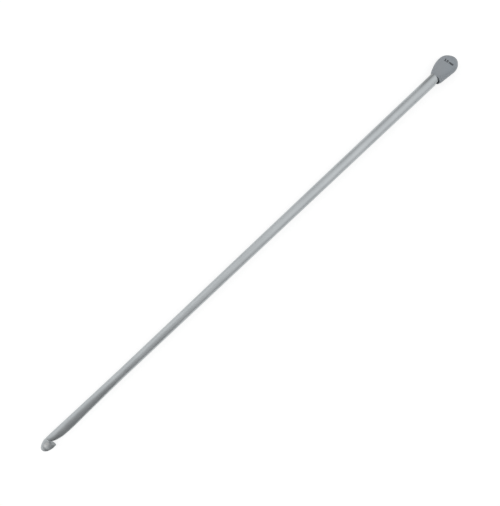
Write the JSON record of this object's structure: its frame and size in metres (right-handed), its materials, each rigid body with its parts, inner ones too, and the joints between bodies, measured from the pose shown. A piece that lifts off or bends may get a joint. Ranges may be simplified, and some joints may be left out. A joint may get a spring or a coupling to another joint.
{
  "type": "tunisian crochet hook",
  "caption": "Long straight aluminium crochet hook with a pressed, undercut hook head at one end and a flattened teardrop plastic stopper knob at the other.",
  "frame": {"origin": "under the middle of the whole hook, level with the lower flat of the end knob", "axes": "+X runs along the rod from the hook to the end knob, the hook's mouth opens towards -Y, and +Z is square to the pressed faces of the hook and to the knob's two flats"},
  "size_m": [0.3, 0.0092, 0.007],
  "materials": {
    "satin_aluminium": "satin pearl grey, drawn along its length",
    "grey_plastic": "moulded, matte"
  },
  "bodies": {
    "root": {"hook_head": "satin_aluminium", "shaft": "satin_aluminium", "end_knob": "grey_plastic"}
  },
  "joints": []
}
